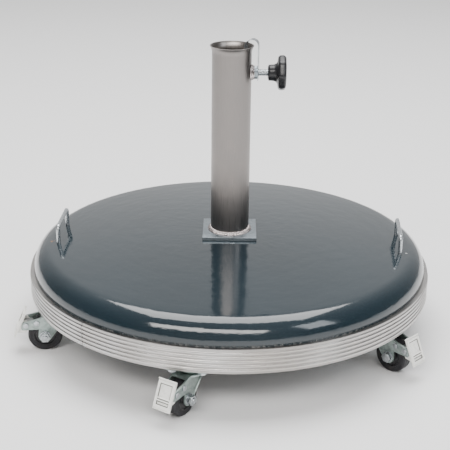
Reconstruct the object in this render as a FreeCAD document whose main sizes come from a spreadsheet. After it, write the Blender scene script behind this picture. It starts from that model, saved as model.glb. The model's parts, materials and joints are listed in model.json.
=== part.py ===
import FreeCAD, Part
import math
import os
import re
import Sketcher
from FreeCAD import Placement, Rotation, Vector

# A round, ballasted parasol base on six braked swivel casters.
# Frame: millimetres, +Z up, origin on the floor under the axis of the pole tube.
# The clamp screw points along +X.

os.makedirs("parts", exist_ok=True)
doc = FreeCAD.newDocument("ParasolBase")

# ---------------------------------------------------------------- sizes

SIZES = [
    ("band_radius", 300.0, "rim band, outer radius over the ribs"),
    ("band_bottom", 68.0, "rim band, height of its lower edge above the floor"),
    ("band_height", 35.0, "rim band, height"),
    ("band_wall", 3.0, "rim band, wall thickness without the ribs"),
    ("band_rib", 1.2, "rim band, how far a rib stands out"),
    ("band_rib_count", 5, "rim band, number of ribs"),
    ("band_rib_pitch", 6.0, "rim band, distance from one rib to the next"),
    ("band_lip", 2.0, "rim band, plain strip below the ribs"),
    ("band_gap", 0.8, "rim band, gap at its butt joint"),
    ("band_joint_angle", -131.0, "rim band, direction of its butt joint"),
    ("dish_radius", 293.5, "dish shell, outer radius at the band"),
    ("dish_wall", 2.0, "dish shell, sheet thickness"),
    ("dish_top", 148.5, "dish shell, height of the flat centre"),
    ("dish_flat_radius", 58.0, "dish shell, radius of the flat centre"),
    ("knuckle_radius", 265.4, "dish shell, radius where the dome turns down"),
    ("knuckle_top", 136.5, "dish shell, height where the dome turns down"),
    ("dome_arc", 2802.0, "dish shell, radius of the dome's arc"),
    ("knuckle_arc", 31.0, "dish shell, radius of the turned-down edge"),
    ("floor_plate", 3.0, "bottom plate, thickness"),
    ("socket_side", 80.0, "socket plate, side"),
    ("socket_plate_thick", 5.0, "socket plate, thickness"),
    ("anchor_radius", 5.0, "socket plate, radius of its cast-in anchors"),
    ("anchor_reach", 27.0, "socket plate, anchor distance from the axis along X and Y"),
    ("anchor_depth", 45.0, "socket plate, how deep the anchors reach"),
    ("tube_radius", 28.5, "socket tube, outer radius"),
    ("tube_bore", 26.5, "socket tube, bore radius"),
    ("tube_top", 432.0, "socket tube, height of the lip"),
    ("flare_height", 11.0, "socket tube, height of the flared mouth"),
    ("flare_out", 3.2, "socket tube, how far the mouth opens out"),
    ("weld_leg", 4.5, "tube weld, leg length"),
    ("screw_height", 393.0, "clamp screw, height of its axis"),
    ("screw_radius", 5.0, "clamp screw, radius"),
    ("screw_tip", 26.8, "clamp screw, distance of its tip from the tube axis"),
    ("screw_tail", 60.0, "clamp screw, distance of its outer end from the tube axis"),
    ("nut_flats", 17.0, "clamp nut, width across flats"),
    ("nut_thick", 8.0, "clamp nut, thickness"),
    ("nut_start", 29.5, "clamp nut, distance of its inner face from the tube axis"),
    ("knob_start", 51.5, "clamp knob, distance of its hub face from the tube axis"),
    ("knob_hub_radius", 12.0, "clamp knob, hub radius"),
    ("knob_hub_length", 14.5, "clamp knob, hub length"),
    ("knob_radius", 25.5, "clamp knob, radius over the lobes"),
    ("knob_thick", 12.0, "clamp knob, grip thickness"),
    ("knob_lobes", 8, "clamp knob, number of lobes"),
    ("strip_thick", 0.7, "guard strip, thickness"),
    ("strip_width", 12.0, "guard strip, width"),
    ("strip_outer", 38.4, "guard strip, distance of its outer leg from the tube axis"),
    ("strip_inner", 27.4, "guard strip, distance of its inner leg from the tube axis"),
    ("strip_foot", 381.0, "guard strip, height of its lower end"),
    ("strip_bend", 436.0, "guard strip, height where its bend starts"),
    ("strip_lip", 429.0, "guard strip, height of the end inside the mouth"),
    ("handle_rod", 3.0, "handles, rod radius"),
    ("handle_span", 76.5, "handles, distance between the legs"),
    ("handle_radius", 253.5, "handles, distance from the tube axis"),
    ("handle_top", 163.5, "handles, height of the rod's centre line"),
    ("handle_bend", 5.5, "handles, bend radius of the centre line"),
    ("handle_root", 100.0, "handles, height of the cast-in ends"),
    ("handle_left_angle", 178.3, "handles, direction of the left one"),
    ("handle_right_angle", -3.8, "handles, direction of the right one"),
    ("mount_side", 54.0, "caster mounting plate, side"),
    ("mount_thick", 2.5, "caster mounting plate, thickness"),
    ("mount_hole_reach", 20.0, "caster mounting plate, hole distance from its centre along X and Y"),
    ("bolt_radius", 3.0, "caster bolts, shank radius"),
    ("bolt_head_flats", 10.0, "caster bolts, width across flats"),
    ("bolt_head", 4.0, "caster bolts, head thickness"),
    ("race_outer", 17.0, "swivel race, outer radius"),
    ("race_inner", 10.3, "swivel race, inner radius"),
    ("race_skirt", 15.2, "swivel race, inner radius of its skirt"),
    ("race_top", 61.9, "swivel race, height of the ball track"),
    ("race_bottom", 58.0, "swivel race, height of the skirt's edge"),
    ("ball_radius", 2.3, "swivel balls, radius"),
    ("ball_circle", 12.6, "swivel balls, radius of their circle"),
    ("ball_count", 15, "swivel balls, number in each caster"),
    ("kingpin_radius", 4.0, "kingpin, radius"),
    ("kingpin_head", 7.0, "kingpin, head radius"),
    ("kingpin_end", 51.5, "kingpin, height of its head's lower face"),
    ("crown_radius", 21.0, "fork, crown radius"),
    ("crown_bottom", 54.5, "fork, height of the crown's underside"),
    ("fork_sheet", 2.5, "fork, sheet thickness"),
    ("fork_gap", 21.0, "fork, distance between the legs"),
    ("leg_end", 9.5, "fork, radius of the leg's round end"),
    ("axle_trail", 22.0, "fork, distance of the axle behind the swivel axis"),
    ("wheel_radius", 25.0, "wheel, radius"),
    ("wheel_width", 17.5, "wheel, width of the tread"),
    ("tyre_inner", 17.0, "wheel, inner radius of the tyre"),
    ("tyre_shoulder", 3.0, "wheel, shoulder radius of the tyre"),
    ("hub_length", 20.4, "wheel, length of the hub"),
    ("hub_boss", 8.0, "wheel, radius of the hub's boss"),
    ("axle_radius", 4.0, "axle bolt, radius"),
    ("axle_flats", 13.0, "axle bolt, width across flats"),
    ("axle_head", 5.0, "axle bolt, head thickness"),
    ("axle_nut", 6.5, "axle nut, thickness"),
    ("washer_radius", 8.0, "axle washers, radius"),
    ("washer_thick", 1.0, "axle washers, thickness"),
    ("rivet_radius", 2.5, "fork rivets, shank radius"),
    ("rivet_head", 4.0, "fork rivets, head radius"),
    ("rivet_head_thick", 1.8, "fork rivets, head thickness"),
    ("rivet_front_x", 33.5, "front rivet, distance behind the swivel axis"),
    ("rivet_front_z", 46.3, "front rivet, height"),
    ("pivot_x", 49.0, "pedal pivot, distance behind the swivel axis"),
    ("pivot_z", 43.0, "pedal pivot, height"),
    ("pedal_width", 27.0, "pedal, width"),
    ("pedal_sheet", 2.0, "pedal, sheet thickness"),
    ("cheek_span", 19.6, "pedal, width over the cheeks"),
    ("cheek_gap", 16.0, "pedal, distance between the cheeks"),
    ("shoe_radius", 2.0, "pedal, radius of the brake shoe bar"),
    ("shoe_x", 50.0, "pedal, shoe bar distance behind the swivel axis"),
    ("shoe_z", 33.5, "pedal, shoe bar height"),
    ("spring_width", 12.0, "brake spring, width"),
    ("spring_sheet", 0.8, "brake spring, thickness"),
    ("running_gap", 0.05, "radial clearance of every turning fit"),
    ("free_gap", 0.3, "clearance round the screw where it passes through"),
]

# Where each swivel axis stands, as a direction and a distance from the tube axis,
# and the direction in which that caster trails.
CASTERS = [
    (-158.1, 265.3, 187.0),
    (-100.5, 267.6, 237.0),
    (-32.1, 259.4, -43.9),
    (22.8, 265.0, 12.0),
    (83.0, 265.0, 56.0),
    (142.0, 265.0, 155.0),
]

sheet = doc.addObject("Spreadsheet::Sheet", "Sizes")
for row, (alias, number, note) in enumerate(SIZES, start=1):
    sheet.set(f"A{row}", note)
    sheet.set(f"B{row}", str(number))
    sheet.setAlias(f"B{row}", alias)
doc.recompute()


ALIASES = {alias for alias, number, note in SIZES}


def full(expression):
    """The expression with every alias written as a cell of the Sizes sheet."""
    return re.sub(r"[a-z_]+", lambda word: f"Sizes.{word[0]}" if word[0] in ALIASES else word[0],
                  expression)


def value(expression):
    """The expression's number, in millimetres, degrees or as a plain count."""
    result = sheet.evalExpression(full(expression))
    return float(getattr(result, "Value", result))


# ---------------------------------------------------------------- builders


def plane(body, role):
    """The body's own origin plane with this role."""
    return next(f for f in body.Origin.OriginFeatures if f.Role == role)


def pin_down(sketch, geometry, point, x, y):
    """Fixes a sketch point at (x, y), each given as an expression of the sheet."""
    for kind, axis, where in (("DistanceX", -2, x), ("DistanceY", -1, y)):
        if abs(value(where)) < 1e-9:
            sketch.addConstraint(Sketcher.Constraint("PointOnObject", geometry, point, axis))
        else:
            index = sketch.addConstraint(
                Sketcher.Constraint(kind, -1, 1, geometry, point, value(where))
            )
            sketch.setExpression(f"Constraints[{index}]", full(where))


def arc_between(start, end, radius, side):
    """The shorter arc from start to end with its centre on the given side."""
    half = (end - start) * 0.5
    along = math.sqrt(max(radius**2 - half.Length**2, 0.0))
    normal = Vector(-half.y, half.x, 0).normalize() * side
    centre = start + half + normal * along
    begin = math.atan2(start.y - centre.y, start.x - centre.x)
    finish = math.atan2(end.y - centre.y, end.x - centre.x)
    circle = Part.Circle(centre, Vector(0, 0, 1), radius)
    if side > 0:
        return Part.ArcOfCircle(circle, begin, finish), 1, 2
    return Part.ArcOfCircle(circle, finish, begin), 2, 1


def outline(body, name, role, points, circles=()):
    """A closed sketch. Each point is (x, y), or (x, y, radius, side) where an arc starts."""
    sketch = body.newObject("Sketcher::SketchObject", name)
    sketch.AttachmentSupport = [(plane(body, role), "")]
    sketch.MapMode = "FlatFace"
    spots = [Vector(value(p[0]), value(p[1]), 0) for p in points]
    ends = []
    for i, p in enumerate(points):
        start, end = spots[i], spots[(i + 1) % len(points)]
        if len(p) == 4:
            arc, first, last = arc_between(start, end, value(p[2]), p[3])
            index = sketch.addGeometry(arc, False)
        else:
            index, first, last = sketch.addGeometry(Part.LineSegment(start, end), False), 1, 2
        ends.append((index, first, last))
    for i, p in enumerate(points):
        index, first, last = ends[i]
        following = ends[(i + 1) % len(points)]
        sketch.addConstraint(
            Sketcher.Constraint("Coincident", index, last, following[0], following[1])
        )
        pin_down(sketch, index, first, p[0], p[1])
        if len(p) < 4:
            continue
        if abs((spots[i] - spots[(i + 1) % len(points)]).Length - 2 * value(p[2])) < 1e-6:
            # a half circle is held by the height of its centre
            level = sketch.addConstraint(
                Sketcher.Constraint("DistanceY", -1, 1, index, 3, value(p[1]))
            )
            sketch.setExpression(f"Constraints[{level}]", full(p[1]))
        else:
            radius = sketch.addConstraint(Sketcher.Constraint("Radius", index, value(p[2])))
            sketch.setExpression(f"Constraints[{radius}]", full(p[2]))
    for x, y, radius in circles:
        centre = Vector(value(x), value(y), 0)
        index = sketch.addGeometry(Part.Circle(centre, Vector(0, 0, 1), value(radius)), False)
        size = sketch.addConstraint(Sketcher.Constraint("Radius", index, value(radius)))
        sketch.setExpression(f"Constraints[{size}]", full(radius))
        pin_down(sketch, index, 3, x, y)
    doc.recompute()
    return sketch


def new_body(label):
    body = doc.addObject("PartDesign::Body", label)
    body.Label = label
    return body


def revolved(body, sketch, axis="V_Axis"):
    feature = body.newObject("PartDesign::Revolution", "Turned")
    feature.Profile = sketch
    feature.ReferenceAxis = (sketch, [axis])
    feature.Angle = 360.0
    doc.recompute()


def padded(body, sketch, length):
    """A pad that runs as far to one side of its sketch as to the other."""
    feature = body.newObject("PartDesign::Pad", "Pad")
    feature.Profile = sketch
    feature.setExpression("Length", full(length))
    feature.Midplane = True
    doc.recompute()


def pocketed(body, sketch, length):
    """A pocket cut evenly to both sides of its sketch; it has to remove something."""
    before = body.Shape.Volume
    feature = body.newObject("PartDesign::Pocket", "Pocket")
    feature.Profile = sketch
    feature.setExpression("Length", full(length))
    feature.Midplane = True
    doc.recompute()
    if body.Shape.Volume >= before:
        raise RuntimeError(f"{body.Label}: the pocket removes nothing")


ALONG = {
    "Z": Rotation(),
    "X": Rotation(Vector(0, 0, 1), Vector(1, 0, 0)),
    "Y": Rotation(Vector(0, 0, 1), Vector(0, 1, 0)),
}


def place(thing, x, y, z, along="Z"):
    """Stands the thing at a place given by expressions, with its length along an axis."""
    thing.Placement = Placement(Vector(value(x), value(y), value(z)), ALONG[along])
    for letter, where in (("x", x), ("y", y), ("z", z)):
        thing.setExpression(f".Placement.Base.{letter}", full(where))
    return thing


def cylinder(name, radius, height, x="0", y="0", z="0", along="Z"):
    thing = doc.addObject("Part::Cylinder", name)
    thing.setExpression("Radius", full(radius))
    thing.setExpression("Height", full(height))
    return place(thing, x, y, z, along)


def hexagon(name, flats, height, x="0", y="0", z="0", along="Z"):
    """A hexagonal prism, sized across its flats."""
    thing = doc.addObject("Part::Prism", name)
    thing.Polygon = 6
    thing.setExpression("Circumradius", full(f"({flats}) / sqrt(3)"))
    thing.setExpression("Height", full(height))
    return place(thing, x, y, z, along)


def box(name, length, width, height, x, y, z):
    thing = doc.addObject("Part::Box", name)
    for side, size in (("Length", length), ("Width", width), ("Height", height)):
        thing.setExpression(side, full(size))
    return place(thing, x, y, z)


def cut(label, base, tool):
    thing = doc.addObject("Part::Cut", label)
    thing.Base, thing.Tool = base, tool
    thing.Label = label
    doc.recompute()
    return thing


def fused(label, *things):
    thing = doc.addObject("Part::MultiFuse", label)
    thing.Shapes = list(things)
    thing.Label = label
    doc.recompute()
    return thing


def grouped(label, *things):
    thing = doc.addObject("Part::Compound", label)
    thing.Links = list(things)
    thing.Label = label
    doc.recompute()
    return thing


def copies(label, pattern, placements):
    """One object holding the pattern's solids at each placement."""
    thing = doc.addObject("Part::Feature", label)
    solids = []
    for where in placements:
        for solid in pattern.Shape.Solids:
            moved = solid.copy()
            moved.Placement = where.multiply(solid.Placement)
            solids.append(moved)
    thing.Shape = Part.makeCompound(solids)
    thing.Label = label
    thing.Placement = Placement()
    return thing


PARTS = []


def keep(thing):
    """Marks an object as a sub-part of its own."""
    PARTS.append(thing)
    return thing


# ---------------------------------------------------------------- casters, one pattern of each piece
# In a pattern the swivel axis is Z, the wheel trails along +X and the floor is at zero.


def mounting_plate():
    """Square plate with the pressed swivel race under it."""
    side = box("MountBlank", "mount_side", "mount_side", "mount_thick",
               "-mount_side / 2", "-mount_side / 2", "band_bottom - mount_thick")
    body = new_body("SwivelRace")
    revolved(body, outline(body, "RaceProfile", "XZ_Plane", [
        ("race_inner", "race_top"),
        ("race_skirt", "race_top"),
        ("race_skirt", "race_bottom"),
        ("race_outer", "race_bottom"),
        ("race_outer", "band_bottom - mount_thick"),
        ("race_inner", "band_bottom - mount_thick"),
    ]))
    blank = fused("MountAndRace", side, body)
    holes = [cylinder("KingpinHole", "kingpin_radius", "3 * mount_thick",
                      z="band_bottom - 2 * mount_thick")]
    for across in (-1, 1):
        for along in (-1, 1):
            holes.append(cylinder("BoltHole", "bolt_radius", "3 * mount_thick",
                                  f"{across} * mount_hole_reach", f"{along} * mount_hole_reach",
                                  "band_bottom - 2 * mount_thick"))
    return cut("MountPattern", blank, fused("MountHoles", *holes))


def caster_bolt():
    """Hexagon bolt that holds a mounting plate to the bottom plate."""
    head = hexagon("BoltHead", "bolt_head_flats", "bolt_head",
                   z="band_bottom - mount_thick - bolt_head")
    shank = cylinder("BoltShank", "bolt_radius", "mount_thick + floor_plate",
                     z="band_bottom - mount_thick")
    return fused("BoltPattern", head, shank)


def kingpin():
    """Headed pin that the fork turns on, riveted into the mounting plate."""
    shank = cylinder("KingpinShank", "kingpin_radius", "band_bottom - kingpin_end", z="kingpin_end")
    head = cylinder("KingpinHead", "kingpin_head", "crown_bottom - kingpin_end - free_gap",
                    z="kingpin_end")
    return fused("KingpinPattern", shank, head)


def swivel_balls():
    """The ring of bearing balls in one swivel race."""
    balls = []
    count = round(value("ball_count"))
    for i in range(count):
        ball = doc.addObject("Part::Sphere", "Ball")
        ball.setExpression("Radius", full("ball_radius"))
        turn = f"{i} * 360deg / ball_count"
        place(ball, f"ball_circle * cos({turn})", f"ball_circle * sin({turn})",
              "race_top - ball_radius")
        balls.append(ball)
    return grouped("BallPattern", *balls)


def fork():
    """Pressed fork: round crown, two legs and the arm that carries the pedal."""
    body = new_body("ForkPressing")
    crown_top = "crown_bottom + fork_sheet"
    side = outline(body, "ForkSide", "XZ_Plane", [
        ("-13.4", crown_top),
        ("axle_trail - 8.13", "wheel_radius - 4.92", "leg_end", 1),
        ("axle_trail + 9.47", "wheel_radius + 0.8"),
        ("axle_trail + 8.5", "36"),
        ("54.5", "35.5"),
        ("55.8", "38"),
        ("54.2", "45.5"),
        ("52", "48"),
        ("32.5", "52.5"),
        ("crown_radius", crown_top),
    ], circles=[
        ("axle_trail", "wheel_radius", "axle_radius"),
        ("rivet_front_x", "rivet_front_z", "rivet_radius"),
        ("pivot_x", "pivot_z", "rivet_radius"),
    ])
    padded(body, side, "fork_gap + 2 * fork_sheet")
    inside = outline(body, "BetweenLegs", "XZ_Plane", [
        ("-30", "0"), ("90", "0"), ("90", "crown_bottom"), ("-30", "crown_bottom"),
    ])
    pocketed(body, inside, "fork_gap")
    crown = cylinder("Crown", "crown_radius", "fork_sheet", z="crown_bottom")
    hole = cylinder("CrownHole", "kingpin_radius + running_gap", "3 * fork_sheet",
                    z="crown_bottom - fork_sheet")
    return cut("ForkPattern", fused("ForkBlank", body, crown), hole)


def tyre():
    """Solid tyre with rounded shoulders, turned about the axle."""
    body = new_body("TyrePattern")
    edge, half = "wheel_radius - tyre_shoulder", "wheel_width / 2"
    revolved(body, outline(body, "TyreProfile", "XY_Plane", [
        ("tyre_inner", f"-{half}"),
        (edge, f"-{half}", "tyre_shoulder", 1),
        ("wheel_radius", f"tyre_shoulder - {half}"),
        ("wheel_radius", f"{half} - tyre_shoulder", "tyre_shoulder", 1),
        (edge, half),
        ("tyre_inner", half),
    ]))
    return place(body, "axle_trail", "0", "wheel_radius")


def hub():
    """Wheel centre with a boss on each side, bored for the axle."""
    body = new_body("HubPattern")
    bore, web, half = "axle_radius + running_gap", "wheel_width / 2 - 2", "wheel_width / 2"
    revolved(body, outline(body, "HubProfile", "XY_Plane", [
        (bore, "-hub_length / 2"),
        ("hub_boss", "-hub_length / 2"),
        ("hub_boss + 1", f"-({web})"),
        ("tyre_inner - 2", f"-({web})"),
        ("tyre_inner - 1.5", f"-{half}"),
        ("tyre_inner", f"-{half}"),
        ("tyre_inner", half),
        ("tyre_inner - 1.5", half),
        ("tyre_inner - 2", web),
        ("hub_boss + 1", web),
        ("hub_boss", "hub_length / 2"),
        (bore, "hub_length / 2"),
    ]))
    return place(body, "axle_trail", "0", "wheel_radius")


def rivet(name, x, z):
    """Rivet through both legs, headed on the outside."""
    outer = "fork_gap + 2 * fork_sheet"
    shank = cylinder(f"{name}Shank", "rivet_radius", outer, x, f"-({outer}) / 2", z, "Y")
    heads = [
        cylinder(f"{name}Head", "rivet_head", "rivet_head_thick", x, y, z, "Y")
        for y in (f"-({outer}) / 2 - rivet_head_thick", f"({outer}) / 2")
    ]
    return fused(f"{name}Rivet", shank, *heads)


def stub_rivet(side):
    """Short rivet in one leg, flush inside so that it clears the wheel."""
    inner, outer = "fork_gap / 2", "fork_gap / 2 + fork_sheet"
    start = inner if side > 0 else f"-({outer})"
    cap = outer if side > 0 else f"-({outer}) - rivet_head_thick"
    shank = cylinder("StubShank", "rivet_radius", "fork_sheet",
                     "rivet_front_x", start, "rivet_front_z", "Y")
    head = cylinder("StubHead", "rivet_head", "rivet_head_thick",
                    "rivet_front_x", cap, "rivet_front_z", "Y")
    return fused("StubRivet", shank, head)


def caster_fasteners():
    """Axle bolt, its nut and washers, the pedal's pivot rivet and the two stub rivets."""
    outer = "(fork_gap / 2 + fork_sheet)"
    washers = []
    for start in (f"{outer}", f"-{outer} - washer_thick"):
        disc = cylinder("WasherDisc", "washer_radius", "washer_thick",
                        "axle_trail", start, "wheel_radius", "Y")
        hole = cylinder("WasherHole", "axle_radius", "washer_thick",
                        "axle_trail", start, "wheel_radius", "Y")
        washers.append(cut("Washer", disc, hole))
    head = hexagon("AxleHead", "axle_flats", "axle_head", "axle_trail",
                   f"-{outer} - washer_thick - axle_head", "wheel_radius", "Y")
    shank = cylinder("AxleShank", "axle_radius",
                     f"2 * {outer} + 2 * washer_thick + axle_nut + 1.5",
                     "axle_trail", f"-{outer} - washer_thick", "wheel_radius", "Y")
    nut = cut("AxleNut",
              hexagon("AxleNutBlank", "axle_flats", "axle_nut", "axle_trail",
                      f"{outer} + washer_thick", "wheel_radius", "Y"),
              cylinder("AxleNutThread", "axle_radius", "axle_nut", "axle_trail",
                       f"{outer} + washer_thick", "wheel_radius", "Y"))
    return grouped("FastenerPattern", fused("AxleBolt", head, shank), nut, *washers,
                   rivet("Pivot", "pivot_x", "pivot_z"), stub_rivet(1), stub_rivet(-1))


def pedal():
    """Brake pedal: sloping foot plate with a flared lip, two cheeks and the shoe bar."""
    body = new_body("PedalPressing")
    cheeks = outline(body, "PedalCheeks", "XZ_Plane", [
        ("44.2", "45"), ("47.5", "48.6"), ("54.1", "50.0"), ("63.2", "30"),
        ("54.5", "30.4"), ("49.5", "31.0"), ("48.0", "33.5"),
    ])
    padded(body, cheeks, "cheek_span")
    between = outline(body, "BetweenCheeks", "XZ_Plane", [
        ("40", "20"), ("80", "20"), ("80", "60"), ("40", "60"),
    ])
    pocketed(body, between, "cheek_gap")
    foot = new_body("PedalFoot")
    sheet_x, sheet_z = "pedal_sheet * 0.913", "pedal_sheet * 0.408"
    padded(foot, outline(foot, "FootSide", "XZ_Plane", [
        ("51.4", "63.2"), ("48.0", "61.2"), ("64.4", "25.2"), ("66.0", "24.0"),
        (f"66 + {sheet_z}", f"24 + {sheet_x}"),
        (f"64.4 + {sheet_x}", f"25.2 + {sheet_z}"),
        (f"47.8 + {sheet_x} + 0.6", f"60.4 + {sheet_z}"),
        (f"51.4 + {sheet_z}", f"63.2 - {sheet_x}"),
    ]), "pedal_width")
    bar = cylinder("ShoeBar", "shoe_radius", "cheek_span", "shoe_x", "-cheek_span / 2", "shoe_z", "Y")
    eye = cylinder("PivotEye", "rivet_radius + running_gap", "2 * cheek_span",
                   "pivot_x", "-cheek_span", "pivot_z", "Y")
    return cut("PedalPattern", fused("PedalBlank", body, foot, bar), eye)


def brake_spring():
    """Leaf spring: an eye round the pivot rivet and a tail towards the wheel."""
    start = "-spring_width / 2"
    eye = cylinder("SpringEye", "rivet_radius + 0.1 + spring_sheet", "spring_width",
                   "pivot_x", start, "pivot_z", "Y")
    tail = box("SpringTail", "9.5", "spring_width", "spring_sheet",
               "pivot_x - 9.5", start, "pivot_z + rivet_radius + 0.1")
    hole = cylinder("SpringHole", "rivet_radius + 0.1", "spring_width",
                    "pivot_x", start, "pivot_z", "Y")
    return cut("SpringPattern", fused("SpringBlank", eye, tail), hole)


def caster_placement(direction, distance, heading):
    """On the swivel axis in that direction, turned to the heading."""
    angle = math.radians(direction)
    centre = Vector(distance * math.cos(angle), distance * math.sin(angle), 0)
    return Placement(centre, Rotation(Vector(0, 0, 1), heading))


SWIVELS = [caster_placement(direction, distance, trail) for direction, distance, trail in CASTERS]
PLATES = [caster_placement(direction, distance, direction) for direction, distance, trail in CASTERS]

bolt_reach = value("mount_hole_reach")
bolt_spots = [
    where.multiply(Placement(Vector(bolt_reach * across, bolt_reach * along, 0), Rotation()))
    for where in PLATES
    for across in (-1, 1)
    for along in (-1, 1)
]
bolts = keep(copies("caster_bolts", caster_bolt(), bolt_spots))
keep(copies("caster_kingpins", kingpin(), PLATES))
keep(copies("swivel_balls", swivel_balls(), PLATES))

plate_pattern = mounting_plate()
for number, where in enumerate(PLATES, start=1):
    keep(copies(f"caster_{number}_plate", plate_pattern, [where]))

TURNING = {
    "fork": fork(),
    "fasteners": caster_fasteners(),
    "spring": brake_spring(),
    "tyre": tyre(),
    "hub": hub(),
    "pedal": pedal(),
}
for number, where in enumerate(SWIVELS, start=1):
    for piece, pattern in TURNING.items():
        keep(copies(f"caster_{number}_{piece}", pattern, [where]))

# ---------------------------------------------------------------- pole socket and clamp


def socket_plate():
    """Square plate under the tube, with four anchors cast into the ballast."""
    corner = "-socket_side / 2"
    plate = box("SocketPlateBlank", "socket_side", "socket_side", "socket_plate_thick",
                corner, corner, "dish_top")
    anchors = [
        cylinder("Anchor", "anchor_radius", "anchor_depth", f"{across} * anchor_reach",
                 f"{along} * anchor_reach", "dish_top - anchor_depth")
        for across in (-1, 1)
        for along in (-1, 1)
    ]
    return fused("socket_plate", plate, *anchors)


def socket_tube():
    """Steel tube with a flared mouth and a side hole for the clamp screw."""
    body = new_body("TubeTurned")
    foot, neck = "dish_top + socket_plate_thick", "tube_top - flare_height"
    revolved(body, outline(body, "TubeProfile", "XZ_Plane", [
        ("tube_bore", foot),
        ("tube_radius", foot),
        ("tube_radius", neck),
        ("tube_radius + flare_out", "tube_top"),
        ("tube_bore + flare_out", "tube_top"),
        ("tube_bore", neck),
    ]))
    hole = cylinder("ScrewHole", "screw_radius + free_gap", "tube_radius", "tube_bore / 2", "0",
                    "screw_height", "X")
    return cut("socket_tube", body, hole)


def tube_weld():
    body = new_body("tube_weld")
    foot = "dish_top + socket_plate_thick"
    revolved(body, outline(body, "WeldProfile", "XZ_Plane", [
        ("tube_radius", foot),
        ("tube_radius + weld_leg", foot),
        ("tube_radius", f"{foot} + weld_leg"),
    ]))
    return body


def clamp_nut():
    return cut(
        "clamp_nut",
        hexagon("NutBlank", "nut_flats", "nut_thick", "nut_start", "0", "screw_height", "X"),
        cylinder("NutThread", "screw_radius + running_gap", "nut_thick", "nut_start", "0",
                 "screw_height", "X"),
    )


def clamp_nut_weld():
    """Conical bead that joins the nut to the tube."""
    bead = doc.addObject("Part::Cone", "NutBead")
    bead.setExpression("Radius1", full("nut_flats / 2 + 4.5"))
    bead.setExpression("Radius2", full("nut_flats / 2 + 1"))
    bead.setExpression("Height", full("nut_start - tube_bore + 3"))
    place(bead, "tube_bore", "0", "screw_height", "X")
    tube = cylinder("TubeSolid", "tube_radius", "60", z="screw_height - 30")
    nut = hexagon("NutSolid", "nut_flats", "nut_thick", "nut_start", "0", "screw_height", "X")
    hole = cylinder("BeadHole", "screw_radius + free_gap", "20", "tube_bore - 5", "0",
                    "screw_height", "X")
    return cut("clamp_nut_weld", bead, fused("BeadTools", tube, nut, hole))


def guard_strip():
    """Spring-steel strip hooked over the lip; the screw passes through its outer leg."""
    body = new_body("StripBent")
    bend = "(strip_outer - strip_inner) / 2"
    padded(body, outline(body, "StripSide", "XZ_Plane", [
        ("strip_outer", "strip_foot"),
        ("strip_outer", "strip_bend", bend, 1),
        ("strip_inner", "strip_bend"),
        ("strip_inner", "strip_lip"),
        ("strip_inner + strip_thick", "strip_lip"),
        ("strip_inner + strip_thick", "strip_bend", f"{bend} - strip_thick", -1),
        ("strip_outer - strip_thick", "strip_bend"),
        ("strip_outer - strip_thick", "strip_foot"),
    ]), "strip_width")
    hole = cylinder("StripHole", "screw_radius + free_gap", "20", "strip_outer - 10", "0",
                    "screw_height", "X")
    return cut("guard_strip", body, hole)


def clamp_screw():
    screw = cylinder("clamp_screw", "screw_radius", "screw_tail - screw_tip", "screw_tip", "0",
                     "screw_height", "X")
    screw.Label = "clamp_screw"
    return screw


def clamp_knob():
    """Lobed grip on a waisted hub, bored for the screw's end."""
    body = new_body("KnobTurned")
    end, face = "knob_hub_length + knob_thick", "knob_hub_length"
    revolved(body, outline(body, "KnobProfile", "XY_Plane", [
        ("0", "0"),
        ("0", "knob_hub_radius"),
        ("knob_hub_length * 0.6", "knob_hub_radius - 0.6"),
        (face, "knob_hub_radius + 2"),
        (face, "knob_radius - 5", "5", -1),
        (f"{face} + 5", "knob_radius"),
        (f"{end} - 5", "knob_radius", "5", -1),
        (end, "knob_radius - 5"),
        (end, "0"),
    ]), "H_Axis")
    place(body, "knob_start", "0", "screw_height")
    scoop = "14"
    scoops = []
    for i in range(round(value("knob_lobes"))):
        turn = f"({i} + 0.5) * 360deg / knob_lobes"
        reach = f"(knob_radius + {scoop} - 1.6)"
        scoops.append(cylinder("Scoop", scoop, "knob_thick", "knob_start + knob_hub_length",
                               f"{reach} * sin({turn})", f"screw_height + {reach} * cos({turn})",
                               "X"))
    bore = cylinder("KnobBore", "screw_radius + running_gap",
                    "screw_tail - knob_start + free_gap", "knob_start", "0", "screw_height", "X")
    return cut("clamp_knob", body, fused("KnobTools", *scoops, bore))


plate = keep(socket_plate())
keep(socket_tube())
for make in (tube_weld, clamp_nut, clamp_nut_weld, guard_strip, clamp_screw, clamp_knob):
    keep(make())

# ---------------------------------------------------------------- handles


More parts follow.
